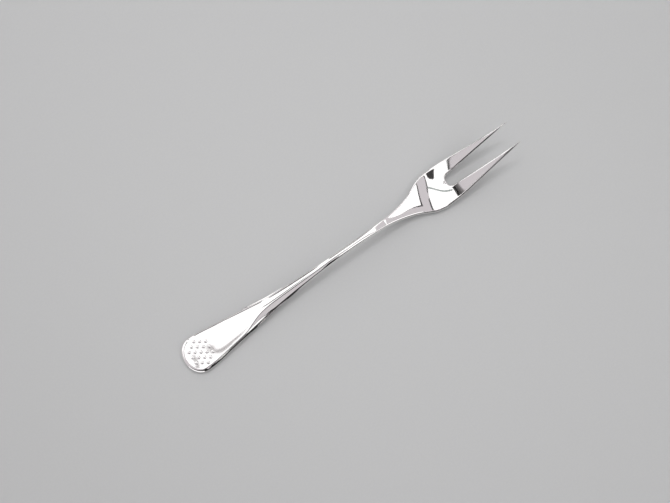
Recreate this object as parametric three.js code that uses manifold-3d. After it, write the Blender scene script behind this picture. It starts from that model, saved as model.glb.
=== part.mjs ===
// Two-tined serving fork for cold meat, pressed and ground from one blank of metal.
// X runs from the handle's end to the tips, Y across, Z up. Sizes are in millimetres, and
// places along the fork are counted from the handle's end until the mesh is centred.
import {
  BoxGeometry, BufferGeometry, Float32BufferAttribute, Group, LatheGeometry, Mesh,
  MeshStandardMaterial, Vector2,
} from 'three';
import { mergeVertices } from 'three/addons/utils/BufferGeometryUtils.js';
import Module from 'manifold-3d';

// Lengths along the fork, one after another from the handle's end
const endDepth = 7;
const flareLength = 79;
const shoulderLength = 45;
const rootSetback = 4.6;
const tineLength = 34.4;
const fallLength = 41;
const waist = endDepth + flareLength;
const widest = waist + shoulderLength;
const slotRoot = widest + rootSetback;
const length = slotRoot + tineLength;
const lowest = waist + fallLength;

// Widths, each measured from the centreline
const endHalf = 8.25;
const waistHalf = 1.36;
const bowlHalf = 9.05;
const slotRootHalf = 2.55;
const slotTipHalf = 5.08;
const tipWidth = 0.15;
const slotCorner = 1.7;
const endPower = 2.1;

// Heights of the underside along the centreline
const restLength = 16;
const archHeight = 4.1;
const tipHeight = 10.75;
const restDepth = 0.06;

// Thickness of the metal, the crown of its top and the bowl's dish
const endThickness = 1.9;
const waistThickness = 2.7;
const bowlThickness = 1.9;
const tipThickness = 0.6;
const crownHeight = 0.07;
const dishDepth = 0.72;

// Width of the rounding that runs along every edge, seen from above
const endRound = 0.75;
const waistRound = 0.5;
const tineRound = 0.5;
const tipRound = 0.8;
const roundLimitShare = 0.92;

// Bevels beside the flat top of the handle and the stem, and a steeper rim outside them.
// A slope is the drop over the width. Past the stem the flat reaches beyond the sides.
const bevelSlopeShare = 0.32;
const bevelSoftness = 0.42;
const rimSlopeShare = 0.55;
const rimSoftness = 0.25;
const endRim = 1.2;
const waistRim = 0.2;
const flatEndHalf = 9.2;
const flatWaistHalf = 0.25;
const flatMargin = 1;
const dropLimitShare = 0.9;

// Beads raised on the handle's end
const beadRadius = 0.8;
const beadHeight = 0.32;
const beadSink = 0.25;
const beadPitch = 2.7;
const beadRowPitch = 2.1;
const beadCentre = 8.1;
const beadRowCounts = [3, 4, 5, 4, 3];

// Shapes of the long curves: [share of the way along, share of the change in size]
const flareShares = [[0, 1], [0.03, 1], [0.08, 0.945], [0.14, 0.83], [0.21, 0.72],
  [0.29, 0.595], [0.37, 0.465], [0.45, 0.33], [0.54, 0.215], [0.64, 0.135], [0.75, 0.075],
  [0.87, 0.028], [1, 0]];
const shoulderShares = [[0.1, 0.015], [0.2, 0.03], [0.3, 0.045], [0.4, 0.08], [0.49, 0.14],
  [0.57, 0.235], [0.64, 0.33], [0.7, 0.435], [0.76, 0.605], [0.82, 0.795], [0.88, 0.935],
  [0.94, 1], [1, 1.01]];
const tineShares = [[0.14, 1], [0.28, 0.855], [0.49, 0.595], [0.69, 0.337], [0.85, 0.16],
  [1, 0]];
const archShares = [[0, 0.02], [0.1, 0.08], [0.25, 0.215], [0.42, 0.4], [0.6, 0.635],
  [0.76, 0.865], [0.88, 0.985]];
const fallShares = [[0, 1.005], [0.2, 0.985], [0.36, 0.95], [0.45, 0.86], [0.56, 0.64],
  [0.68, 0.375], [0.79, 0.165], [0.9, 0.02], [1, -0.01]];
const liftShares = [[0.1, 0.005], [0.25, 0.105], [0.4, 0.25], [0.55, 0.42], [0.7, 0.61],
  [0.85, 0.805], [1, 1]];
const handleThickShares = [[0, 0], [0.14, 0.04], [0.35, 0.28], [0.58, 0.64], [0.81, 0.9],
  [1, 1]];
const shoulderThickShares = [[0.09, 1], [0.42, 0.73], [0.67, 0.2], [0.89, 0]];
const tineThickShares = [[0.23, 1], [0.49, 0.82], [0.74, 0.45], [1, 0]];
const flatShares = [[0, 1], [0.3, 0.57], [0.36, 0.36], [0.42, 0.13], [0.47, 0.03], [0.54, 0],
  [0.7, 0], [1, 0]];
const flatFadeShares = [[0.1, 0], [0.25, 0.05], [0.4, 0.4], [0.6, 1]];
const rimShares = [[0, 1], [0.25, 1], [0.4, 0.35], [0.55, 0], [1, 0]];
const crownShares = [[0.35, 1], [0.45, 0.6], [0.55, 0], [0.7, 0], [0.85, 0], [1, 0]];
const dishRiseShares = [[0.5, 0], [0.6, 0.03], [0.7, 0.35], [0.8, 0.63], [0.9, 0.9], [1, 0.99]];
const dishFallShares = [[0.12, 0.98], [0.25, 0.84], [0.4, 0.56], [0.55, 0.27], [0.7, 0.05],
  [0.85, 0], [1, 0]];
const handleRoundShares = [[0, 0], [0.35, 0.1], [0.6, 0.7], [0.8, 1], [1, 1]];
const shoulderRoundShares = [[0.1, 1], [0.35, 0.75], [0.55, 0.35], [0.8, 0.1], [1, 0.1]];

// How finely the surfaces are divided
const edgeSteps = 4;
const faceSteps = 8;
const endSteps = 9;
const handleSteps = 24;
const shoulderSteps = 24;
const rootSteps = 6;
const tineSteps = 14;
const tipSteps = 3;
const samplesPerSpan = 40;
const beadSides = 12;
const beadRings = 3;
const mergeDistance = 1e-4;
const slopeStep = 0.05;

const metal = new MeshStandardMaterial({ color: 0xd4d1cf, roughness: 0.12, metalness: 1 });

const mix = (from, to, share) => from + (to - from) * share;

// Points between two stations, where share 0 is the low size and share 1 the high one
function between(fromX, toX, low, high, shares) {
  return shares.map(([along, size]) => [mix(fromX, toX, along), mix(low, high, size)]);
}

// A smooth curve drawn towards its control points, read as a height at each x
function curve(points) {
  const beyond = (a, b) => [2 * a[0] - b[0], 2 * a[1] - b[1]];
  const held = [beyond(points[0], points[1]), ...points,
    beyond(points[points.length - 1], points[points.length - 2])];
  const table = [];
  for (let i = 0; i + 3 < held.length; i++) {
    for (let s = 0; s <= samplesPerSpan; s++) {
      const t = s / samplesPerSpan;
      const pull = [(1 - t) ** 3, 3 * t ** 3 - 6 * t ** 2 + 4,
        -3 * t ** 3 + 3 * t ** 2 + 3 * t + 1, t ** 3];
      table.push([0, 1].map((axis) => pull.reduce((sum, p, k) => sum + p * held[i + k][axis], 0) / 6));
    }
  }
  return (x) => {
    let low = 0;
    let high = table.length - 1;
    while (high - low > 1) {
      const middle = (low + high) >> 1;
      if (table[middle][0] <= x) low = middle; else high = middle;
    }
    const [[x0, y0], [x1, y1]] = [table[low], table[high]];
    const share = x1 > x0 ? Math.min(1, Math.max(0, (x - x0) / (x1 - x0))) : 0;
    return mix(y0, y1, share);
  };
}

const sideAt = curve([
  ...between(endDepth, waist, waistHalf, endHalf, flareShares),
  ...between(waist, widest, waistHalf, bowlHalf, shoulderShares),
  ...between(widest, length, slotTipHalf + tipWidth, bowlHalf, tineShares),
]);
const undersideAt = curve([
  [0, 0], [restLength / 2, 0],
  ...between(restLength, waist, 0, archHeight, archShares),
  ...between(waist, lowest, 0, archHeight, fallShares),
  ...between(lowest, length, 0, tipHeight, liftShares),
]);
const thicknessAt = curve([
  ...between(0, waist, endThickness, waistThickness, handleThickShares),
  ...between(waist, widest, bowlThickness, waistThickness, shoulderThickShares),
  ...between(widest, length, tipThickness, bowlThickness, tineThickShares),
]);
const crownAt = curve([
  [0, crownHeight], ...between(waist, widest, 0, crownHeight, crownShares), [length, 0],
]);
const flatAt = curve([
  ...between(0, waist, flatWaistHalf, flatEndHalf, flatShares),
  ...between(waist, widest, flatWaistHalf, bowlHalf + flatMargin, flatFadeShares),
  [length, bowlHalf + flatMargin],
]);
const rimAt = curve([...between(0, waist, waistRim, endRim, rimShares), [length, waistRim]]);
const dishAt = curve([
  [0, 0], ...between(waist, widest, 0, dishDepth, dishRiseShares),
  ...between(widest, length, 0, dishDepth, dishFallShares),
]);
const roundAt = curve([
  ...between(0, waist, endRound, waistRound, handleRoundShares),
  ...between(waist, widest, tineRound, waistRound, shoulderRoundShares),
  [length, tineRound],
]);

// The slot between the tines widens evenly towards the tips
function slotAt(x) {
  const corner = slotRoot + slotCorner;
  return mix(slotRootHalf, slotTipHalf, (x - corner) / (length - corner));
}

// Slope of a curve at x, as the direction that points out of the fork's side
function outwardAt(side, x, sign) {
  const slope = (side(x + slopeStep) - side(x - slopeStep)) / (2 * slopeStep);
  const size = Math.hypot(slope, 1);
  return [(-slope * sign) / size, sign / size];
}

const insetBy = ([x, y], [nx, ny], distance) => [x - nx * distance, y - ny * distance];

// Zero before a crease, one for one after it, with a round bend between
function rampAt(distance, softness) {
  const bend = Math.min(softness, Math.max(-softness, distance));
  return (bend + softness) ** 2 / (4 * softness) + Math.max(0, distance - softness);
}

// Heights of the top and the underside at a point, given how full the section is there
function heightsAt(x, y, fullness, capShare) {
  const side = sideAt(Math.max(x, endDepth));
  const half = (thicknessAt(x) / 2) * capShare;
  const across = Math.abs(y) / side;
  const intoEnd = Math.max(0, (endDepth - x) / endDepth);
  const swell = Math.max(0, 1 - across ** endPower - intoEnd ** endPower);
  const inside = side * (1 - swell) ** (1 / endPower);
  const drop = bevelSlopeShare * rampAt(inside - flatAt(x), bevelSoftness)
    + rimSlopeShare * rampAt(inside - side + rimAt(x), rimSoftness);
  const rise = half - Math.min(drop, half * dropLimitShare);
  const middle = undersideAt(x) + thicknessAt(x) / 2 + dishAt(x) * across ** 2 - restDepth;
  return [middle + rise * fullness + crownAt(x) * swell, middle - half * fullness];
}

// One row of the half fork: where it leaves the outline and where it reaches the middle
// line or the slot
function rowFrom(outer, outerOut, inner, innerOut, capShare = 1) {
  const width = innerOut
    ? Math.hypot(outer[0] - inner[0], outer[1] - inner[1]) / 2
    : sideAt(Math.max(outer[0], endDepth));
  const rounding = Math.min(roundAt(outer[0]), roundLimitShare * width);
  const points = [];
  for (let k = 0; k <= edgeSteps; k++) {
    const angle = (k / edgeSteps) * (Math.PI / 2);
    points.push([...insetBy(outer, outerOut, rounding * (1 - Math.cos(angle))), Math.sin(angle)]);
  }
  const start = insetBy(outer, outerOut, rounding);
  const end = innerOut ? insetBy(inner, innerOut, rounding) : inner;
  for (let k = 1; k <= faceSteps; k++) {
    const share = k / faceSteps;
    points.push([mix(start[0], end[0], share), mix(start[1], end[1], share), 1]);
  }
  for (let k = edgeSteps - 1; innerOut && k >= 0; k--) {
    const angle = (k / edgeSteps) * (Math.PI / 2);
    points.push([...insetBy(inner, innerOut, rounding * (1 - Math.cos(angle))), Math.sin(angle)]);
  }
  return points.map(([x, y, fullness]) => {
    const [top, under] = heightsAt(x, y, fullness, capShare);
    return { x, y, top, under };
  });
}

// Rows round the handle's end, fanning out from the middle line
function endRows() {
  const rows = [];
  for (let k = 0; k < endSteps; k++) {
    const angle = (k / endSteps) * (Math.PI / 2);
    const [c, s] = [Math.cos(angle), Math.sin(angle)];
    const outer = [endDepth * (1 - c ** (2 / endPower)), endHalf * s ** (2 / endPower)];
    const lean = [c ** (2 - 2 / endPower) / endDepth, s ** (2 - 2 / endPower) / endHalf];
    const size = Math.hypot(...lean);
    const centre = [mix(endDepth / 2, endDepth, k / endSteps), 0];
    rows.push(rowFrom(outer, [-lean[0] / size, lean[1] / size], centre, null));
  }
  return rows;
}

function handleRows() {
  const rows = [];
  const add = (x) => rows.push(rowFrom([x, sideAt(x)], outwardAt(sideAt, x, 1), [x, 0], null));
  for (let k = 0; k < handleSteps; k++) add(mix(endDepth, waist, k / handleSteps));
  const last = slotRoot - roundAt(slotRoot);
  for (let k = 0; k < shoulderSteps; k++) add(mix(waist, last, k / shoulderSteps));
  return rows;
}

// Rows round the root of the slot, from its flat end through its corner
function rootRows() {
  const rows = [];
  const flat = slotRootHalf - slotCorner;
  const cornerX = slotRoot + slotCorner;
  const firstX = slotRoot - roundAt(slotRoot);
  for (let k = 0; k < rootSteps; k++) {
    const share = k / rootSteps;
    const angle = Math.max(0, (share - 1 / rootSteps) / (1 - 1 / rootSteps)) * (Math.PI / 2);
    const out = [Math.cos(angle), -Math.sin(angle)];
    const inner = k === 0
      ? [slotRoot, 0]
      : [cornerX - slotCorner * out[0], flat - slotCorner * out[1]];
    const x = mix(firstX, cornerX, share);
    rows.push(rowFrom([x, sideAt(x)], outwardAt(sideAt, x, 1), inner, out));
  }
  return rows;
}

function tineRows() {
  const rows = [];
  const cornerX = slotRoot + slotCorner;
  const capStart = length - tipRound;
  const add = (x, cap) => {
    const middle = (sideAt(x) + slotAt(x)) / 2;
    const half = ((sideAt(x) - slotAt(x)) / 2) * cap;
    const outer = [x, middle + half];
    const inner = [x, middle - half];
    const outwards = cap < 1 ? [0, 1] : outwardAt(sideAt, x, 1);
    const inwards = cap < 1 ? [0, -1] : outwardAt(slotAt, x, -1);
    rows.push(rowFrom(outer, outwards, inner, inwards, cap));
  };
  for (let k = 0; k < tineSteps; k++) add(mix(cornerX, capStart, k / tineSteps), 1);
  for (let k = 0; k <= tipSteps; k++) {
    const angle = (k / tipSteps) * (Math.PI / 2);
    add(capStart + tipRound * Math.sin(angle), Math.cos(angle));
  }
  return rows;
}

// The closed surface: each half's top and underside, meeting along the outline
function bodyGeometry() {
  const position = [];
  const put = (a, b, c) => [a, b, c].forEach((p) => position.push(...p));
  const quad = (a, b, c, d) => { put(a, b, c); put(a, c, d); };
  const rows = [...endRows(), ...handleRows(), ...rootRows(), ...tineRows()];
  for (const side of [1, -1]) {
    for (const face of ['top', 'under']) {
      const at = (p) => [p.x, p.y * side, p[face]];
      const turned = (side > 0) === (face === 'top');
      for (let i = 0; i + 1 < rows.length; i++) {
        const count = Math.min(rows[i].length, rows[i + 1].length);
        for (let j = 0; j + 1 < count; j++) {
          const corners = [rows[i][j], rows[i][j + 1], rows[i + 1][j + 1], rows[i + 1][j]].map(at);
          if (turned) quad(...corners); else quad(...corners.reverse());
        }
      }
    }
  }
  const geometry = new BufferGeometry();
  geometry.setAttribute('position', new Float32BufferAttribute(position, 3));
  return geometry;
}

// A round bead, with a skirt that reaches into the handle
function beadGeometry() {
  const profile = [new Vector2(0, -beadSink), new Vector2(beadRadius, -beadSink)];
  for (let k = 0; k < beadRings; k++) {
    const angle = (k / beadRings) * (Math.PI / 2);
    profile.push(new Vector2(beadRadius * Math.cos(angle), beadHeight * Math.sin(angle)));
  }
  profile.push(new Vector2(0, beadHeight));
  return new LatheGeometry(profile, beadSides).rotateX(Math.PI / 2);
}

// Centres of the beads, in staggered rows
function beadCentres() {
  const centres = [];
  beadRowCounts.forEach((count, row) => {
    const x = beadCentre + (row - (beadRowCounts.length - 1) / 2) * beadRowPitch;
    for (let k = 0; k < count; k++) centres.push([x, (k - (count - 1) / 2) * beadPitch]);
  });
  return centres;
}

const wasm = await Module();
wasm.setup();

function solidFrom(geometry) {
  const bare = geometry.clone();
  bare.deleteAttribute('normal');
  bare.deleteAttribute('uv');
  const merged = mergeVertices(bare, mergeDistance);
  const index = Array.from(merged.index.array);
  const kept = [];
  for (let i = 0; i < index.length; i += 3) {
    const [a, b, c] = index.slice(i, i + 3);
    if (a !== b && b !== c && c !== a) kept.push(a, b, c);
  }
  return new wasm.Manifold(new wasm.Mesh({
    numProp: 3,
    vertProperties: new Float32Array(merged.attributes.position.array),
    triVerts: new Uint32Array(kept),
  }));
}

function meshFrom(solid, name) {
  const { vertProperties, triVerts } = solid.getMesh();
  const geometry = new BufferGeometry();
  geometry.setAttribute('position', new Float32BufferAttribute(vertProperties, 3));
  geometry.setIndex(Array.from(triVerts));
  geometry.computeVertexNormals();
  const mesh = new Mesh(geometry, metal);
  mesh.name = name;
  mesh.position.x = -length / 2;
  return mesh;
}

// The two spots that the fork rests on are worn level: everything below them goes
const ground = new BoxGeometry(2 * length, 2 * length, length).translate(length / 2, 0, -length / 2);
let fork = solidFrom(bodyGeometry()).subtract(solidFrom(ground));
for (const [x, y] of beadCentres()) {
  const bead = beadGeometry().translate(x, y, heightsAt(x, y, 1, 1)[0]);
  fork = fork.add(solidFrom(bead));
}

const group = new Group();
group.name = 'meat_fork';
group.add(meshFrom(fork, 'fork'));

export default group;
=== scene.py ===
import math

import bmesh
import bpy
import numpy as np
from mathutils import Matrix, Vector


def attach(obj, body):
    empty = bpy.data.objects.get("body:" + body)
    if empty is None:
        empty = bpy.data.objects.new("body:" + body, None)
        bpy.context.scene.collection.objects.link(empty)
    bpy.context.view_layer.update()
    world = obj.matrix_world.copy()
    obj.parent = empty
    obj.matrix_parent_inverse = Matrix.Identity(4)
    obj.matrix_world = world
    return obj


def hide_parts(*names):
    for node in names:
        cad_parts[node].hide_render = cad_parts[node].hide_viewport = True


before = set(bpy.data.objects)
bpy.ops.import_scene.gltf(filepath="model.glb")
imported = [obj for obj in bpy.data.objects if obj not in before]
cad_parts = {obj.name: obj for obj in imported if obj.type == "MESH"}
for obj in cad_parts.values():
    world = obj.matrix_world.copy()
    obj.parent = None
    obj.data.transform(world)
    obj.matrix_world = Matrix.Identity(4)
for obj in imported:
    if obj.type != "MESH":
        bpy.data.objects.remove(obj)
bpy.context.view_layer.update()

# A millimetre in the scene's metres. The fork's own sizes below are in millimetres.
MM = 0.001

# Lengths along the fork, one after another from the handle's end
END_DEPTH = 7
FLARE_LENGTH = 79
SHOULDER_LENGTH = 45
ROOT_SETBACK = 4.6
TINE_LENGTH = 34.4
FALL_LENGTH = 41
WAIST = END_DEPTH + FLARE_LENGTH
WIDEST = WAIST + SHOULDER_LENGTH
SLOT_ROOT = WIDEST + ROOT_SETBACK
LENGTH = SLOT_ROOT + TINE_LENGTH
LOWEST = WAIST + FALL_LENGTH

# Widths from the centreline
END_HALF = 8.25
WAIST_HALF = 1.36
BOWL_HALF = 9.05
SLOT_ROOT_HALF = 2.55
SLOT_TIP_HALF = 5.08
TIP_WIDTH = 0.15
SLOT_CORNER = 1.7
END_POWER = 2.1

# Heights of the underside
REST_LENGTH = 16
ARCH_HEIGHT = 4.35
TIP_HEIGHT = 10.75
REST_DEPTH = 0.06

# Thickness of the metal, the handle's crown and the bowl's dish
END_THICKNESS = 1.9
WAIST_THICKNESS = 2.7
BOWL_THICKNESS = 1.9
TIP_THICKNESS = 0.6
CROWN_HEIGHT = 0.07
DISH_DEPTH = 0.72

# Width of the rounding along every edge
END_ROUND = 0.75
WAIST_ROUND = 0.5
TINE_ROUND = 0.8
TIP_ROUND = 0.8
ROUND_LIMIT_SHARE = 0.92

# The bevels beside the flat top of the handle and the stem, and the softer rim outside them
END_BEVEL_SLOPE = 0.2
WAIST_BEVEL_SLOPE = 0.32
BEVEL_SOFTNESS = 0.42
RIM_SLOPE = 0.42
RIM_SOFTNESS = 0.3
END_RIM = 1.2
WAIST_RIM = 0.6
FLAT_END_HALF = 9.2
FLAT_WAIST_HALF = 0.25
BEVEL_OFF = 1
DROP_LIMIT_SHARE = 0.9

# Beads on the handle's end
BEAD_RADIUS = 0.8
BEAD_HEIGHT = 0.32
BEAD_PITCH = 2.7
BEAD_ROW_PITCH = 2.1
BEAD_CENTRE = 8.1
BEAD_ROWS = 5
BEAD_SINK = 0.02
BEAD_SEGMENTS = 24
BEAD_SPREAD_SHARE = 0.04
BEAD_SEED = 7
HALF_STEP = 0.5
PROBE_HEIGHT = 12

# The marks of the buffing wheel, and the slow waves that it leaves. The real marks are some
# hundredths of a millimetre wide; they are drawn coarser, so that they show as a soft sheen.
BUFF_WIDTH = 0.4
BUFF_LENGTH = 14
BUFF_DEPTH = 0.00008
WAVE_SIZE = 7
WAVE_DEPTH = 0.0022
LEAST_ROUGH = 0.025
MOST_ROUGH = 0.06

# The film on the silver: the size of its patches, its colours, and how open a place is where it
# stays or is wiped off. The dark colour goes where ambient occlusion falls: a brown film in the
# crevices round the beads, and painted shade along the rounded edges, which the occlusion
# reaches too
HAZE_SIZE = 18
CLEAR_FILM = "#F7F6F6"
HAZY_FILM = "#F3F1F0"
# Dark film colour, which is also the painted shade along the rounded edges
CREVICE_FILM_AND_PAINTED_SHADE = "#6B6560"
FILM_AND_SHADE_REACH = 0.9
FILM_AND_SHADE_FULL = 0.3
FILM_AND_SHADE_GONE = 0.72
OCCLUSION_SAMPLES = 8

# The cardboard under the fork, and the matt boards
CARD_SHADE = "#C1C2C2"
CARD_LIGHT = "#C6C7C7"
CARD_GRAIN = 0.9
BOARD_ROUGHNESS = 0.9

# The view of the photograph: the distance and the target in metres, the lens and the sensor in
# millimetres
VIEW_TURN = math.radians(35.27)
VIEW_RISE = math.radians(77.35)
VIEW_DISTANCE = 0.9
VIEW_TARGET = Vector((-0.00612, 0.00261, 0.003))
VIEW_LENS = 114.13
SENSOR_WIDTH = 36

# The studio, in metres
FLOOR_HALF = 4
SOFTBOX_HEIGHT = 1.0
LAYER_GAP = 0.001
WALL_FOOT = 0.02
SOFTBOX_GLOW = 1.3
ROOM_COLOUR = "#D2CDD0"

# The long curves: [share of the way along, share of the change in size]
FLARE_SHARES = [[0, 1], [0.03, 1], [0.08, 0.945], [0.14, 0.83], [0.21, 0.72],
                [0.29, 0.595], [0.37, 0.465], [0.45, 0.33], [0.54, 0.215], [0.64, 0.135],
                [0.75, 0.075], [0.87, 0.028], [1, 0]]
SHOULDER_SHARES = [[0.1, 0.015], [0.2, 0.03], [0.3, 0.045], [0.4, 0.08], [0.49, 0.14],
                   [0.57, 0.235], [0.64, 0.33], [0.7, 0.435], [0.76, 0.605], [0.82, 0.795],
                   [0.88, 0.935], [0.94, 1], [1, 1.01]]
TINE_SHARES = [[0.14, 1], [0.28, 0.855], [0.49, 0.595], [0.69, 0.337], [0.85, 0.16], [1, 0]]
ARCH_SHARES = [[0, 0.02], [0.1, 0.08], [0.25, 0.215], [0.42, 0.4], [0.6, 0.635],
               [0.76, 0.865], [0.88, 0.985]]
FALL_SHARES = [[0, 1.002], [0.15, 0.989], [0.28, 0.971], [0.35, 0.9435], [0.4, 0.914],
               [0.42, 0.897], [0.435, 0.862], [0.48, 0.738], [0.55, 0.584], [0.64, 0.424],
               [0.74, 0.242], [0.84, 0.082], [0.93, 0.007], [1, -0.009]]
LIFT_SHARES = [[0.1, 0.005], [0.25, 0.105], [0.4, 0.25], [0.55, 0.42], [0.7, 0.61],
               [0.85, 0.805], [1, 1]]
HANDLE_THICK_SHARES = [[0, 0], [0.14, 0.04], [0.35, 0.28], [0.58, 0.64], [0.81, 0.9], [1, 1]]
FLAT_SHARES = [[0, 1], [0.3, 0.57], [0.36, 0.36], [0.42, 0.13], [0.47, 0.03], [0.54, 0],
               [0.7, 0], [1, 0]]
SHOULDER_THICK_SHARES = [[0.09, 1], [0.42, 0.73], [0.67, 0.2], [0.89, 0]]
TINE_THICK_SHARES = [[0.23, 1], [0.49, 0.82], [0.74, 0.45], [1, 0]]
BEVEL_SHARES = [[0, 0], [0.3, 0], [0.36, 0.05], [0.43, 0.5], [0.5, 1], [0.6, 1], [1, 1]]
RIM_SHARES = [[0, 1], [0.25, 1], [0.45, 0.7], [0.6, 0.4], [0.75, 0.2], [1, 0]]
CROWN_SHARES = [[0.2, 1], [0.3, 0.4], [0.4, 0], [0.55, 0], [0.7, 0], [0.85, 0], [1, 0]]
DISH_RISE_SHARES = [[0.22, 0], [0.3, 0.05], [0.4, 0.09], [0.5, 0.13], [0.6, 0.17], [0.7, 0.35],
                    [0.8, 0.63], [0.9, 0.9], [1, 0.99]]
FLAT_FADE_SHARES = [[0.1, 0], [0.25, 0.05], [0.4, 0.4], [0.6, 1]]
DISH_FALL_SHARES = [[0.12, 0.98], [0.25, 0.84], [0.4, 0.56], [0.55, 0.27], [0.7, 0.05],
                    [0.85, 0], [1, 0]]
HANDLE_ROUND_SHARES = [[0, 0], [0.35, 0.1], [0.6, 0.7], [0.8, 1], [1, 1]]
SHOULDER_ROUND_SHARES = [[0.1, 1], [0.35, 0.75], [0.55, 0.35], [0.8, 0.1], [1, 0.1]]

# How finely the surfaces are divided
EDGE_STEPS = 10
FACE_STEPS = 24
END_STEPS = 30
HANDLE_STEPS = 110
SHOULDER_STEPS = 90
ROOT_STEPS = 14
TINE_STEPS = 60
TIP_STEPS = 8
SAMPLES_PER_SPAN = 120
SLOPE_STEP = 0.02
MERGE_DISTANCE = 0.0001


def mix(start, end, share):
    return start + (end - start) * share


def between(from_x, to_x, low, high, shares):
    return [[mix(from_x, to_x, along), mix(low, high, size)] for along, size in shares]


def curve(points):
    """A smooth curve drawn towards its control points, read as a height at each x."""
    p = np.array(points, float)
    held = np.vstack([2 * p[0] - p[1], p, 2 * p[-1] - p[-2]])
    t = np.linspace(0, 1, SAMPLES_PER_SPAN + 1)
    pull = np.stack([(1 - t) ** 3, 3 * t ** 3 - 6 * t ** 2 + 4,
                     -3 * t ** 3 + 3 * t ** 2 + 3 * t + 1, t ** 3], -1) / 6
    table = np.vstack([pull @ held[i:i + 4] for i in range(len(held) - 3)])
    return lambda x: np.interp(x, table[:, 0], table[:, 1])


side_at = curve(between(END_DEPTH, WAIST, WAIST_HALF, END_HALF, FLARE_SHARES)
                + between(WAIST, WIDEST, WAIST_HALF, BOWL_HALF, SHOULDER_SHARES)
                + between(WIDEST, LENGTH, SLOT_TIP_HALF + TIP_WIDTH, BOWL_HALF, TINE_SHARES))
underside_at = curve([[0, 0], [REST_LENGTH / 2, 0]]
                     + between(REST_LENGTH, WAIST, 0, ARCH_HEIGHT, ARCH_SHARES)
                     + between(WAIST, LOWEST, 0, ARCH_HEIGHT, FALL_SHARES)
                     + between(LOWEST, LENGTH, 0, TIP_HEIGHT, LIFT_SHARES))
thickness_at = curve(
    between(0, WAIST, END_THICKNESS, WAIST_THICKNESS, HANDLE_THICK_SHARES)
    + between(WAIST, WIDEST, BOWL_THICKNESS, WAIST_THICKNESS, SHOULDER_THICK_SHARES)
    + between(WIDEST, LENGTH, TIP_THICKNESS, BOWL_THICKNESS, TINE_THICK_SHARES))
crown_at = curve([[0, CROWN_HEIGHT]] + between(WAIST, WIDEST, 0, CROWN_HEIGHT, CROWN_SHARES)
                 + [[LENGTH, 0]])
dish_at = curve([[0, 0]] + between(WAIST, WIDEST, 0, DISH_DEPTH, DISH_RISE_SHARES)
                + between(WIDEST, LENGTH, 0, DISH_DEPTH, DISH_FALL_SHARES))
flat_at = curve(between(0, WAIST, FLAT_WAIST_HALF, FLAT_END_HALF, FLAT_SHARES)
                + between(WAIST, WIDEST, FLAT_WAIST_HALF, BOWL_HALF + BEVEL_OFF, FLAT_FADE_SHARES)
                + [[LENGTH, BOWL_HALF + BEVEL_OFF]])
bevel_at = curve(between(0, WAIST, END_BEVEL_SLOPE, WAIST_BEVEL_SLOPE, BEVEL_SHARES)
                 + [[LENGTH, WAIST_BEVEL_SLOPE]])
rim_at = curve(between(0, WAIST, WAIST_RIM, END_RIM, RIM_SHARES)
               + [[LENGTH, WAIST_RIM]])
round_at = curve(between(0, WAIST, END_ROUND, WAIST_ROUND, HANDLE_ROUND_SHARES)
                 + between(WAIST, WIDEST, TINE_ROUND, WAIST_ROUND, SHOULDER_ROUND_SHARES)
                 + [[LENGTH, TINE_ROUND]])


def slot_at(x):
    corner = SLOT_ROOT + SLOT_CORNER
    return mix(SLOT_ROOT_HALF, SLOT_TIP_HALF, (x - corner) / (LENGTH - corner))


def outward_at(side, x, sign):
    slope = (side(x + SLOPE_STEP) - side(x - SLOPE_STEP)) / (2 * SLOPE_STEP)
    return np.array([-slope * sign, sign]) / math.hypot(slope, 1)


def ramp(distance, softness):
    """Zero before a crease, one for one after it, with a round bend between."""
    bend = np.clip(distance, -softness, softness)
    return (bend + softness) ** 2 / (4 * softness) + np.maximum(0, distance - softness)


def heights_at(x, y, fullness, cap):
    """Heights of the top and the underside, given how full the section is there."""
    half = thickness_at(x) / 2 * cap
    across = np.abs(y) / side_at(np.maximum(x, END_DEPTH))
    into_end = np.maximum(0, (END_DEPTH - x) / END_DEPTH)
    swell = np.maximum(0, 1 - across ** END_POWER - into_end ** END_POWER)
    middle = underside_at(x) + thickness_at(x) / 2 + dish_at(x) * across ** 2 - REST_DEPTH
    inside = side_at(np.maximum(x, END_DEPTH)) * np.maximum(0, 1 - swell) ** (1 / END_POWER)
    rim_start = side_at(np.maximum(x, END_DEPTH)) - rim_at(x)
    drop = (bevel_at(x) * ramp(inside - flat_at(x), BEVEL_SOFTNESS)
            + RIM_SLOPE * ramp(inside - rim_start, RIM_SOFTNESS))
    drop = np.minimum(drop, half * DROP_LIMIT_SHARE)
    return middle + (half - drop) * fullness + crown_at(x) * swell, middle - half * fullness


def row_from(outer, outer_out, inner, inner_out=None, cap=1.0):
    """One row of the half fork, from the outline to the middle line or the slot."""
    outer, inner = np.array(outer, float), np.array(inner, float)
    if inner_out is None:
        width = float(side_at(max(outer[0], END_DEPTH)))
    else:
        width = np.linalg.norm(outer - inner) / 2
    rounding = min(float(round_at(outer[0])), ROUND_LIMIT_SHARE * width)
    angle = np.linspace(0, math.pi / 2, EDGE_STEPS + 1)
    in_by = rounding * (1 - np.cos(angle))
    full = np.sin(angle)
    start = outer - outer_out * rounding
    end = inner if inner_out is None else inner - inner_out * rounding
    share = np.linspace(0, 1, FACE_STEPS + 1)[1:]
    plan = [outer - in_by[:, None] * outer_out, mix(start, end, share[:, None])]
    fullness = [full, np.ones(FACE_STEPS)]
    if inner_out is not None:
        plan.append((inner - in_by[:, None] * inner_out)[:-1][::-1])
        fullness.append(full[:-1][::-1])
    plan, fullness = np.vstack(plan), np.concatenate(fullness)
    top, under = heights_at(plan[:, 0], plan[:, 1], fullness, cap)
    return np.column_stack([plan, top]), np.column_stack([plan, under])


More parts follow.
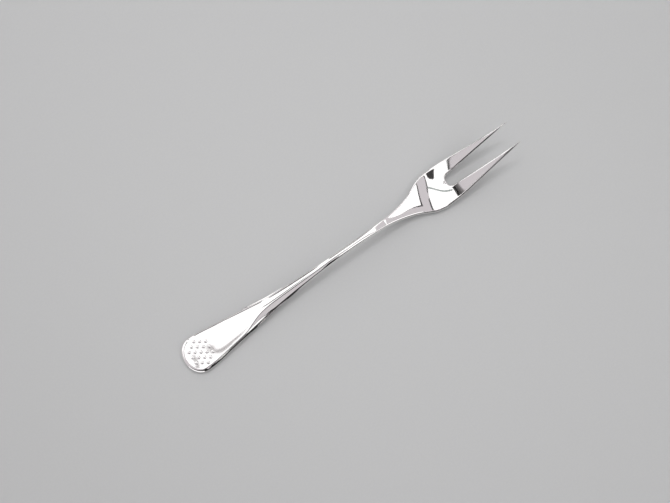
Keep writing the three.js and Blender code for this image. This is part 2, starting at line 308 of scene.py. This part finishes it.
def end_rows():
    """Rows round the handle's end, fanning out from the middle line."""
    rows = []
    for k in range(END_STEPS):
        angle = k / END_STEPS * math.pi / 2
        c, s = math.cos(angle), math.sin(angle)
        outer = [END_DEPTH * (1 - c ** (2 / END_POWER)), END_HALF * s ** (2 / END_POWER)]
        lean = np.array([-c ** (2 - 2 / END_POWER) / END_DEPTH,
                         s ** (2 - 2 / END_POWER) / END_HALF])
        centre = [mix(END_DEPTH / 2, END_DEPTH, k / END_STEPS), 0]
        rows.append(row_from(outer, lean / np.linalg.norm(lean), centre))
    return rows


def handle_rows():
    last = SLOT_ROOT - float(round_at(SLOT_ROOT))
    places = np.concatenate([np.linspace(END_DEPTH, WAIST, HANDLE_STEPS, endpoint=False),
                             np.linspace(WAIST, last, SHOULDER_STEPS, endpoint=False)])
    return [row_from([x, side_at(x)], outward_at(side_at, x, 1), [x, 0]) for x in places]


def root_rows():
    """Rows round the root of the slot, from its flat end through its corner."""
    rows = []
    flat = SLOT_ROOT_HALF - SLOT_CORNER
    corner_x = SLOT_ROOT + SLOT_CORNER
    first_x = SLOT_ROOT - float(round_at(SLOT_ROOT))
    for k in range(ROOT_STEPS):
        share = k / ROOT_STEPS
        turn = max(0.0, (share - 1 / ROOT_STEPS) / (1 - 1 / ROOT_STEPS)) * math.pi / 2
        out = np.array([math.cos(turn), -math.sin(turn)])
        inner = [SLOT_ROOT, 0] if k == 0 else [corner_x - SLOT_CORNER * out[0],
                                               flat - SLOT_CORNER * out[1]]
        x = mix(first_x, corner_x, share)
        rows.append(row_from([x, side_at(x)], outward_at(side_at, x, 1), inner, out))
    return rows


def tine_rows():
    rows = []
    cap_start = LENGTH - TIP_ROUND
    for x in np.linspace(SLOT_ROOT + SLOT_CORNER, cap_start, TINE_STEPS, endpoint=False):
        rows.append(row_from([x, side_at(x)], outward_at(side_at, x, 1),
                             [x, slot_at(x)], outward_at(slot_at, x, -1)))
    for angle in np.linspace(0, math.pi / 2, TIP_STEPS + 1):
        x, cap = cap_start + TIP_ROUND * math.sin(angle), math.cos(angle)
        middle, half = (side_at(x) + slot_at(x)) / 2, (side_at(x) - slot_at(x)) / 2 * cap
        rows.append(row_from([x, middle + half], np.array([0.0, 1.0]),
                             [x, middle - half], np.array([0.0, -1.0]), cap))
    return rows


def mesh_object(name, build):
    """A named mesh object at the origin, filled by build(bmesh)."""
    made = bmesh.new()
    build(made)
    data = bpy.data.meshes.new(name)
    made.to_mesh(data)
    made.free()
    piece = bpy.data.objects.new(name, data)
    bpy.context.scene.collection.objects.link(piece)
    return piece


def fill_fork(made):
    """The closed surface: each half's top and underside, which meet along the outline."""
    rows = end_rows() + handle_rows() + root_rows() + tine_rows()
    for side in (1, -1):
        for face in (0, 1):
            grid = []
            for row in rows:
                points = row[face] * [1, side, 1] - [LENGTH / 2, 0, 0]
                points[:, 2] = np.maximum(points[:, 2], 0)
                grid.append([made.verts.new(p * MM) for p in points])
            for low, high in zip(grid, grid[1:]):
                for j in range(min(len(low), len(high)) - 1):
                    quad = (low[j], low[j + 1], high[j + 1], high[j])
                    made.faces.new(quad if (side > 0) == (face == 0) else quad[::-1])
    bmesh.ops.remove_doubles(made, verts=made.verts, dist=MERGE_DISTANCE * MM)
    bmesh.ops.recalc_face_normals(made, faces=made.faces)
    for face in made.faces:
        face.smooth = True


fork = mesh_object("fork_body", fill_fork)


def linear(hex_colour):
    """An sRGB hex colour as the linear colour that a shader takes."""
    values = [int(hex_colour[i:i + 2], 16) / 255 for i in (1, 3, 5)]
    return [v / 12.92 if v <= 0.04045 else ((v + 0.055) / 1.055) ** 2.4 for v in values] + [1.0]


def add(tree, kind, inputs=None, **settings):
    """Adds a node with its settings. An input, by name or number, takes a value or a link."""
    node = tree.nodes.new(kind)
    for name, value in settings.items():
        setattr(node, name, value)
    named = {socket.name: socket for socket in node.inputs if socket.enabled}
    for key, value in (inputs or {}).items():
        socket = node.inputs[key] if isinstance(key, int) else named[key]
        if isinstance(value, bpy.types.NodeSocket):
            tree.links.new(value, socket)
        else:
            socket.default_value = value
    return node


def output(node, name="Result"):
    """The enabled output of that name."""
    return next(socket for socket in node.outputs if socket.enabled and socket.name == name)


def new_material(name):
    material = bpy.data.materials.new(name)
    material.use_nodes = True
    material.node_tree.nodes.clear()
    return material, material.node_tree


def silver_plate():
    """Silver plate, buffed to a mirror. The wheel's fine lines along the fork soften the
    reflections' edges, its slow waves bend them a little, and a thin brown film stays in the
    crevices round the beads. The same dark colour follows ambient occlusion onto the rounded
    edges as painted shade."""
    material, tree = new_material("silver_plate_buffed_to_a_mirror")
    place = add(tree, "ShaderNodeTexCoord").outputs["Object"]
    patterns = {}
    for name, along, across, detail in (("lines", BUFF_LENGTH, BUFF_WIDTH, 1.0),
                                        ("waves", WAVE_SIZE, WAVE_SIZE, 0.0),
                                        ("haze", HAZE_SIZE, HAZE_SIZE, 3.0)):
        scale = (1 / (along * MM), 1 / (across * MM), 1 / (across * MM))
        spread = add(tree, "ShaderNodeMapping", {"Scale": scale, "Vector": place})
        noise = add(tree, "ShaderNodeTexNoise", {
            "Scale": 1.0, "Detail": detail, "Vector": spread.outputs["Vector"]})
        patterns[name] = noise.outputs["Fac"]

    film = add(tree, "ShaderNodeMix", {
        "A": linear(CLEAR_FILM), "B": linear(HAZY_FILM), "Factor": patterns["haze"]},
        data_type="RGBA")
    # Ambient occlusion places the dark colour: a brown film in the crevices round the beads, and
    # painted shade along the rounded edges
    occlusion = add(tree, "ShaderNodeAmbientOcclusion", {"Distance": FILM_AND_SHADE_REACH * MM},
                  samples=OCCLUSION_SAMPLES)
    open_part = add(tree, "ShaderNodeMapRange", {
        "From Min": FILM_AND_SHADE_FULL, "From Max": FILM_AND_SHADE_GONE, "Value": occlusion.outputs["AO"]})
    colour = add(tree, "ShaderNodeMix", {
        "A": linear(CREVICE_FILM_AND_PAINTED_SHADE), "B": output(film), "Factor": open_part.outputs["Result"]},
        data_type="RGBA")
    rough = add(tree, "ShaderNodeMapRange", {
        "To Min": LEAST_ROUGH, "To Max": MOST_ROUGH, "Value": patterns["lines"]})
    wave_bump = add(tree, "ShaderNodeBump", {
        "Distance": WAVE_DEPTH * MM, "Height": patterns["waves"]})
    line_bump = add(tree, "ShaderNodeBump", {
        "Distance": BUFF_DEPTH * MM, "Height": patterns["lines"],
        "Normal": wave_bump.outputs["Normal"]})
    shader = add(tree, "ShaderNodeBsdfPrincipled", {
        "Metallic": 1.0, "Base Color": output(colour), "Roughness": rough.outputs["Result"],
        "Normal": line_bump.outputs["Normal"]})
    add(tree, "ShaderNodeOutputMaterial", {"Surface": shader.outputs["BSDF"]})
    return material


def pale_card():
    """Matt cardboard, pressed smooth, with a faint mottle of its fibres."""
    material, tree = new_material("cardboard_pressed_smooth")
    place = add(tree, "ShaderNodeTexCoord").outputs["Object"]
    fibres = add(tree, "ShaderNodeTexNoise", {
        "Scale": 1 / (CARD_GRAIN * MM), "Detail": 2.0, "Vector": place})
    colour = add(tree, "ShaderNodeMix", {
        "A": linear(CARD_SHADE), "B": linear(CARD_LIGHT), "Factor": fibres.outputs["Fac"]},
        data_type="RGBA")
    shader = add(tree, "ShaderNodeBsdfPrincipled", {
        "Roughness": BOARD_ROUGHNESS, "Specular IOR Level": 0.0, "Base Color": output(colour)})
    add(tree, "ShaderNodeOutputMaterial", {"Surface": shader.outputs["BSDF"]})
    return material


def matt_board(name, colour):
    """A matt surface, which the metal mirrors as one even tone with no glare."""
    material, tree = new_material(name)
    shader = add(tree, "ShaderNodeBsdfPrincipled", {
        "Base Color": linear(colour), "Roughness": BOARD_ROUGHNESS, "Specular IOR Level": 0.0})
    add(tree, "ShaderNodeOutputMaterial", {"Surface": shader.outputs["BSDF"]})
    return material


def lit_cloth(name, colour, strength):
    """Thin cloth lit from behind, which the metal mirrors as an even glow."""
    material, tree = new_material(name)
    glow = add(tree, "ShaderNodeEmission", {"Color": linear(colour), "Strength": strength})
    add(tree, "ShaderNodeOutputMaterial", {"Surface": glow.outputs["Emission"]})
    return material


silver = silver_plate()
fork.data.materials.append(silver)
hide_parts("fork")
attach(fork, "root")


def bead_tree():
    """Staggered rows of beads in a hexagon, each set on the metal below it."""
    tree = bpy.data.node_groups.new("bead_rows", "GeometryNodeTree")
    for way in ("OUTPUT", "INPUT"):
        tree.interface.new_socket("Geometry", in_out=way, socket_type="NodeSocketGeometry")
    for name, kind in (("Metal", "Object"), ("Rows", "Int"), ("Pitch", "Float"),
                       ("Row Pitch", "Float"), ("Centre", "Float"), ("Radius", "Float"),
                       ("Height", "Float"), ("Sink", "Float")):
        tree.interface.new_socket(name, in_out="INPUT", socket_type=f"NodeSocket{kind}")
    size = add(tree, "NodeGroupInput").outputs

    # Each point's row, and its place in that row. Half a step keeps both clear of rounding.
    index = add(tree, "GeometryNodeInputIndex").outputs["Index"]
    past = add(tree, "ShaderNodeMath", {0: index, 1: HALF_STEP}, operation="ADD")
    rows_past = add(tree, "ShaderNodeMath", {0: past.outputs[0], 1: size["Rows"]},
                    operation="DIVIDE")
    row = add(tree, "ShaderNodeMath", {0: rows_past.outputs[0]}, operation="FLOOR")
    row_start = add(tree, "ShaderNodeMath", {0: row.outputs[0], 1: size["Rows"]},
                    operation="MULTIPLY")
    column = add(tree, "ShaderNodeMath", {0: index, 1: row_start.outputs[0]},
                 operation="SUBTRACT")

    # How many beads the row has: all in the middle row, and one fewer for each row away from it
    gaps = add(tree, "ShaderNodeMath", {0: size["Rows"], 1: 1}, operation="SUBTRACT")
    middle = add(tree, "ShaderNodeMath", {0: gaps.outputs[0], 1: 2}, operation="DIVIDE")
    from_middle = add(tree, "ShaderNodeMath", {0: row.outputs[0], 1: middle.outputs[0]},
                      operation="SUBTRACT")
    fewer = add(tree, "ShaderNodeMath", {0: from_middle.outputs[0]}, operation="ABSOLUTE")
    count = add(tree, "ShaderNodeMath", {0: size["Rows"], 1: fewer.outputs[0]},
                operation="SUBTRACT")
    column_past = add(tree, "ShaderNodeMath", {0: column.outputs[0], 1: HALF_STEP},
                      operation="ADD")
    beyond = add(tree, "ShaderNodeMath", {0: column_past.outputs[0], 1: count.outputs[0]},
                 operation="GREATER_THAN")

    # Where the bead goes: along the fork by its row, and across it by its place in the row
    row_shift = add(tree, "ShaderNodeMath", {0: from_middle.outputs[0], 1: size["Row Pitch"]},
                    operation="MULTIPLY")
    along = add(tree, "ShaderNodeMath", {0: size["Centre"], 1: row_shift.outputs[0]},
                operation="ADD")
    row_gaps = add(tree, "ShaderNodeMath", {0: count.outputs[0], 1: 1}, operation="SUBTRACT")
    row_middle = add(tree, "ShaderNodeMath", {0: row_gaps.outputs[0], 1: 2}, operation="DIVIDE")
    steps = add(tree, "ShaderNodeMath", {0: column.outputs[0], 1: row_middle.outputs[0]},
                operation="SUBTRACT")
    across = add(tree, "ShaderNodeMath", {0: steps.outputs[0], 1: size["Pitch"]},
                 operation="MULTIPLY")

    square = add(tree, "ShaderNodeMath", {0: size["Rows"], 1: size["Rows"]},
                 operation="MULTIPLY")
    start = add(tree, "ShaderNodeCombineXYZ", {
        "X": along.outputs[0], "Y": across.outputs[0], "Z": PROBE_HEIGHT * MM})
    points = add(tree, "GeometryNodePoints", {
        "Count": square.outputs[0], "Position": start.outputs["Vector"]})
    kept = add(tree, "GeometryNodeDeleteGeometry", {
        "Geometry": output(points, "Points"), "Selection": beyond.outputs[0]}, domain="POINT")
    metal = add(tree, "GeometryNodeObjectInfo", {"Object": size["Metal"]},
                transform_space="RELATIVE")
    probe = add(tree, "GeometryNodeRaycast", {
        "Ray Direction": (0, 0, -1), "Target Geometry": metal.outputs["Geometry"]})
    placed = add(tree, "GeometryNodeSetPosition", {
        "Geometry": output(kept, "Geometry"), "Position": probe.outputs["Hit Position"]})

    # One bead: a flattened ball that stands a little in the metal
    ball = add(tree, "GeometryNodeMeshUVSphere", {
        "Segments": BEAD_SEGMENTS, "Rings": BEAD_SEGMENTS // 2, "Radius": 1.0})
    down = add(tree, "ShaderNodeMath", {0: size["Sink"], 1: -1}, operation="MULTIPLY")
    low_place = add(tree, "ShaderNodeCombineXYZ", {"Z": down.outputs[0]})
    tall = add(tree, "ShaderNodeMath", {0: size["Height"], 1: size["Sink"]}, operation="ADD")
    bead_size = add(tree, "ShaderNodeCombineXYZ", {
        "X": size["Radius"], "Y": size["Radius"], "Z": tall.outputs[0]})
    shape = add(tree, "GeometryNodeTransform", {
        "Geometry": ball.outputs["Mesh"], "Translation": low_place.outputs["Vector"],
        "Scale": bead_size.outputs["Vector"]})

    upright = add(tree, "FunctionNodeAlignRotationToVector", {
        "Vector": probe.outputs["Hit Normal"]}, axis="Z")
    spread = add(tree, "FunctionNodeRandomValue", {
        "Min": 1 - BEAD_SPREAD_SHARE, "Max": 1 + BEAD_SPREAD_SHARE, "Seed": BEAD_SEED},
        data_type="FLOAT")
    beads = add(tree, "GeometryNodeInstanceOnPoints", {
        "Points": output(placed, "Geometry"), "Instance": output(shape, "Geometry"),
        "Rotation": upright.outputs["Rotation"], "Scale": output(spread, "Value")})
    real = add(tree, "GeometryNodeRealizeInstances", {"Geometry": output(beads, "Instances")})
    smooth = add(tree, "GeometryNodeSetShadeSmooth", {
        "Shade Smooth": True, "Geometry": output(real, "Geometry")})
    done = add(tree, "GeometryNodeSetMaterial", {
        "Material": silver, "Geometry": output(smooth, "Geometry")})
    add(tree, "NodeGroupOutput", {"Geometry": output(done, "Geometry")})
    return tree


def grown(name, tree, sizes):
    """A finished mesh object made by a node tree from named sizes."""
    seed = mesh_object(f"{name}_seed", lambda made: None)
    modifier = seed.modifiers.new("grow", "NODES")
    modifier.node_group = tree
    for socket in tree.interface.items_tree:
        if socket.name in sizes:
            modifier[socket.identifier] = sizes[socket.name]
    bpy.context.view_layer.update()
    view = bpy.context.evaluated_depsgraph_get()
    data = bpy.data.meshes.new_from_object(seed.evaluated_get(view), depsgraph=view)
    data.name = name
    seed.modifiers.remove(modifier)
    bpy.data.objects.remove(seed)
    piece = bpy.data.objects.new(name, data)
    bpy.context.scene.collection.objects.link(piece)
    return piece


beads = grown("handle_beads", bead_tree(), {
    "Metal": fork, "Rows": BEAD_ROWS, "Pitch": BEAD_PITCH * MM, "Row Pitch": BEAD_ROW_PITCH * MM,
    "Centre": (BEAD_CENTRE - LENGTH / 2) * MM, "Radius": BEAD_RADIUS * MM,
    "Height": BEAD_HEIGHT * MM, "Sink": BEAD_SINK * MM})
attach(beads, "root")


# The studio. From here on, sizes are in metres.
right = Vector((math.cos(VIEW_TURN), -math.sin(VIEW_TURN), 0))
ahead = Vector((math.sin(VIEW_TURN), math.cos(VIEW_TURN), 0))
back = -ahead * math.cos(VIEW_RISE) + Vector((0, 0, math.sin(VIEW_RISE)))

camera_data = bpy.data.cameras.new("camera")
camera_data.lens = VIEW_LENS
camera_data.sensor_width = SENSOR_WIDTH
camera = bpy.data.objects.new("camera", camera_data)
bpy.context.scene.collection.objects.link(camera)
camera.location = VIEW_TARGET + back * VIEW_DISTANCE
camera.rotation_mode = "QUATERNION"
camera.rotation_quaternion = (-back).to_track_quat("-Z", "Y")
bpy.context.scene.camera = camera


def studio_place(east, north, height):
    """A place over the table: right and away as the camera sees it, and up."""
    return right * east + ahead * north + Vector((0, 0, height))


def sheet(name, corners, material):
    """A flat sheet that the metal mirrors and the camera doesn't see."""
    def fill(made):
        made.faces.new([made.verts.new(corner) for corner in corners])
    piece = mesh_object(name, fill)
    piece.data.materials.append(material)
    piece.visible_camera = False


def fill_floor(made):
    bmesh.ops.create_grid(made, x_segments=1, y_segments=1, size=FLOOR_HALF)


floor = mesh_object("floor", fill_floor)
floor.data.materials.append(pale_card())

white_cloth = lit_cloth("nylon_cloth_stretched_on_a_softbox", "#FFFFFF", SOFTBOX_GLOW)
dark_frame = matt_board("board_painted_matt_dark_grey", "#4A4A4A")
black_edge = matt_board("webbing_woven_black", "#1E1E1E")
grey_board = matt_board("board_painted_matt_grey", "#7A7777")
pale_board = matt_board("board_painted_matt_pale_grey", "#A5A2A2")
camera_shell = matt_board("camera_shell_moulded_matt", "#5E5C5C")
sewn_seam = lit_cloth("nylon_cloth_sewn_double", "#9DA5A3", strength=1.0)
folded_cloth = lit_cloth("nylon_cloth_folded_over", "#ADA8A9", strength=1.0)

# The level sheets over the table: how many layers each lies above the softboxes' cloth, its
# material, and its outline, right and away from the middle of the table
LEVEL_SHEETS = {
    "left_cloth": (0, white_cloth, [
        (0.1525, -0.093), (0.063, 0.97), (0.05, 1.3), (-0.3, 1.22), (-0.492, 1.111),
        (-0.546, 1.066), (-0.626, 0.947), (-0.82, 0.815), (-0.336, 0.318), (-0.293, 0.236),
        (-0.248, 0.166), (-0.243, 0.10), (-0.236, 0.06), (-0.163, -0.046), (-0.150, -0.073),
        (-0.131, -0.107), (-0.111, -0.134), (-0.08, -0.152)]),
    "left_frame": (2, black_edge, [
        (0.174, -0.108), (0.1373, 0.27), (0.122, 0.29), (0.1165, 0.36), (0.137, 0.385),
        (0.092, 0.97), (0.067, 1.33), (-0.31, 1.25), (-0.50, 1.135), (-0.566, 1.09),
        (-0.64, 0.969), (-0.86, 0.82), (-0.356, 0.300), (-0.312, 0.222), (-0.273, 0.157),
        (-0.262, 0.09), (-0.25, 0.045), (-0.177, -0.049), (-0.164, -0.079), (-0.141, -0.113),
        (-0.121, -0.141), (-0.084, -0.164)]),
    "inner_halo": (3, grey_board, [
        (0.0, 0.0), (-0.70, 0.61), (-0.368, 0.286), (-0.325, 0.213), (-0.287, 0.149),
        (-0.178, -0.05)]),
    "outer_halo": (4, pale_board, [
        (0.0, 0.0), (-0.70, 0.60), (-0.381, 0.272), (-0.338, 0.204), (-0.301, 0.140),
        (-0.184, -0.05)]),
    "tip_cloth": (6, white_cloth, [
        (-0.436, 0.279), (-1.89, 2.336), (-2.955, 1.58), (-1.501, -0.474)]),
    "right_cloth": (0, white_cloth, [
        (0.28, 0.54), (0.43, 0.612), (0.52, 0.64), (1.5, 0.83), (1.5, -0.45), (0.90, -0.93),
        (0.333, -0.523), (0.305, -0.43), (0.290, -0.33), (0.290, -0.18), (0.325, 0.02),
        (0.331, 0.17)]),
    "right_frame": (2, black_edge, [
        (0.25, 0.56), (0.34, 0.598), (0.42, 0.616), (0.52, 0.646), (1.55, 0.838),
        (1.55, -0.46), (0.90, -0.96), (0.325, -0.55), (0.287, -0.44), (0.271, -0.34),
        (0.271, -0.18), (0.306, 0.02), (0.312, 0.17)]),
    "right_board": (4, dark_frame, [
        (-2.9, -1.9), (-0.23, -0.713), (0.146, -0.448), (0.759, -1.299), (0.87, -1.19),
        (0.95, -0.93), (1.52, -0.44), (3.0, 0.58), (0.45, -1.95), (0.0, -1.5), (-2.9, -2.3)]),
    "right_flap": (-2, black_edge, [
        (0.301, -0.460), (0.383, -0.403), (0.988, -1.26), (0.907, -1.317)]),
    "seam": (-2, sewn_seam, [
        (0.125, 0.188), (0.125, 0.214), (-0.10, 0.227), (-0.262, 0.222), (-0.262, 0.196),
        (-0.10, 0.201)]),
    "cloth_fold": (-2, folded_cloth, [
        (-0.1555, 0.1196), (-0.1547, 0.1106), (-0.1536, 0.1015), (-0.1486, 0.0979),
        (-0.1462, 0.0920), (-0.1474, 0.0841), (-0.1540, 0.0750), (-0.1654, 0.0653),
        (-0.1754, 0.0576), (-0.1800, 0.0534), (-0.1826, 0.0509), (-0.1785, 0.0463),
        (-0.1748, 0.0476), (-0.1695, 0.0511), (-0.1585, 0.0578), (-0.1447, 0.0686),
        (-0.1372, 0.0774), (-0.1368, 0.0862), (-0.1394, 0.0962), (-0.1406, 0.1009),
        (-0.1459, 0.1091), (-0.1492, 0.1159)]),
    "north_west_wall": (6, white_cloth, [
        (-4.2, 0.45), (-0.5, 0.45), (-0.2, 0.8), (-0.2, 4.6), (-4.2, 4.6)]),
    "first_far_frame": (3, black_edge, [
        (-0.764, 0.855), (-0.715, 0.890), (-1.418, 2.057), (-3.50, 4.87), (-3.66, 4.75),
        (-1.492, 2.005)]),
    "second_far_frame": (3, black_edge, [
        (-0.642, 0.942), (-0.47, 1.10), (-1.397, 2.928), (-1.699, 2.715)]),
    "camera_body": (-20, camera_shell, [
        (-0.03, -0.45), (0.12, -0.45), (0.107, -0.03), (0.104, 0.029), (0.071, 0.056),
        (0.008, 0.05), (-0.017, 0.027), (-0.018, -0.113)]),
}
for name, (layers, material, outline) in LEVEL_SHEETS.items():
    height = SOFTBOX_HEIGHT + layers * LAYER_GAP
    sheet(name, [studio_place(east, north, height) for east, north in outline], material)

# The standing sheets: their two ends, right and away, their top and their material
STANDING_SHEETS = {
    "dark_south_east_wall": ((3.0, 0.6), (0.45, -1.95), 1.3, dark_frame),
    "white_south_wall": ((0.5, -2.5), (-3.4, -2.5), 1.0, white_cloth),
}
for name, (start, end, top, material) in STANDING_SHEETS.items():
    sheet(name, [studio_place(*start, WALL_FOOT), studio_place(*end, WALL_FOOT),
                 studio_place(*end, top), studio_place(*start, top)], material)


def lamp(name, kind, energy, place, aim, **settings):
    """A soft lamp for the floor, which the metal doesn't mirror."""
    data = bpy.data.lights.new(name, kind)
    data.energy = energy
    for setting, value in settings.items():
        setattr(data, setting, value)
    piece = bpy.data.objects.new(name, data)
    bpy.context.scene.collection.objects.link(piece)
    piece.location = place
    piece.rotation_mode = "QUATERNION"
    piece.rotation_quaternion = (aim - place).to_track_quat("-Z", "Y")
    piece.visible_camera = False
    piece.visible_glossy = False


lamp("floor_lamp", "SPOT", energy=10, place=studio_place(-0.2, 0.3, 0.8),
     aim=studio_place(0, 0.01, 0), spot_size=math.radians(26), spot_blend=1,
     shadow_soft_size=0.2)
lamp("low_south_east_lamp", "AREA", energy=1.1, place=studio_place(0.5, -0.72, 0.47),
     aim=studio_place(0, 0, 0), size=0.5)
lamp("low_north_west_lamp", "AREA", energy=0.85, place=studio_place(-0.5, 0.72, 0.47),
     aim=studio_place(0, 0, 0), size=0.5)

world = bpy.data.worlds.new("studio")
world.use_nodes = True
world.node_tree.nodes.clear()
room = add(world.node_tree, "ShaderNodeBackground", {
    "Color": linear(ROOM_COLOUR), "Strength": 1.0})
add(world.node_tree, "ShaderNodeOutputWorld", {"Surface": room.outputs["Background"]})
bpy.context.scene.world = world

bpy.context.scene.view_settings.view_transform = "Standard"
